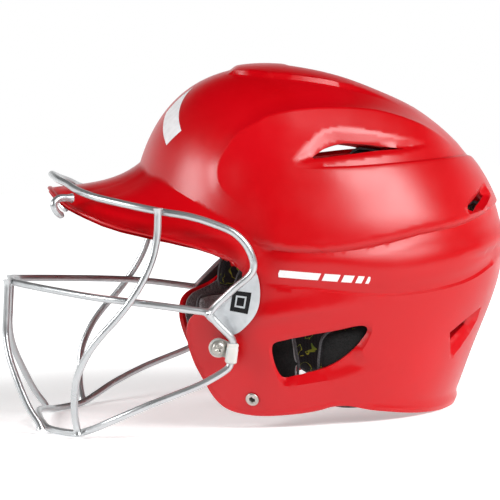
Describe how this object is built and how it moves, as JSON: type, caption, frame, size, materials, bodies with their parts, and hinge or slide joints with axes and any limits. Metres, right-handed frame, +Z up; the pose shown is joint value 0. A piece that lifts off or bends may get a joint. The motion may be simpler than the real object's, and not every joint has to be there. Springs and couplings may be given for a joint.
{
  "type": "batting helmet",
  "caption": "Double-flap batting helmet with brim, vented hard shell, fabric-covered pads and a welded wire face guard that swings on its side screws",
  "frame": {"origin": "middle of the bounding box, on the surface it stands on", "axes": "+X the wearer's left, -Y the way the wearer faces, +Z up"},
  "size_m": [0.2296, 0.3453, 0.2384],
  "materials": {
    "red_shell": "satin moulded plastic",
    "foam": "black fabric over foam",
    "felt": "grey brushed fabric over foam",
    "silver_wire": "silver powder coat",
    "nylon": "white moulded nylon",
    "steel": "bright plated steel"
  },
  "bodies": {
    "helmet": {"outer_shell": "red_shell", "front_pad": "foam", "crown_pad": "foam", "rear_pad": "foam", "left_upper_pad": "foam", "right_upper_pad": "foam", "left_temple_pad": "foam", "right_temple_pad": "foam", "left_side_pad": "foam", "right_side_pad": "foam", "left_cheek_pad": "felt", "right_cheek_pad": "felt", "left_ear_pad": "foam", "right_ear_pad": "foam", "left_t_nut": "steel", "right_t_nut": "steel", "left_screw": "steel", "right_screw": "steel", "left_washer": "steel", "right_washer": "steel", "left_strap_eyelet": "steel", "right_strap_eyelet": "steel"},
    "face_guard": {"top_bar": "silver_wire", "eye_bar": "silver_wire", "chin_bar": "silver_wire", "left_centre_upright": "silver_wire", "right_centre_upright": "silver_wire", "left_side_upright": "silver_wire", "right_side_upright": "silver_wire", "left_brim_hook": "silver_wire", "right_brim_hook": "silver_wire", "left_side_plate": "silver_wire", "right_side_plate": "silver_wire", "left_wire_clip": "nylon", "right_wire_clip": "nylon"}
  },
  "joints": [
    {"name": "face_guard_swing", "type": "hinge", "parent": "helmet", "child": "face_guard", "pos_m": [0, -0.0313, 0.0555], "axis": [1, 0, 0], "range_deg": [0, 95]}
  ]
}
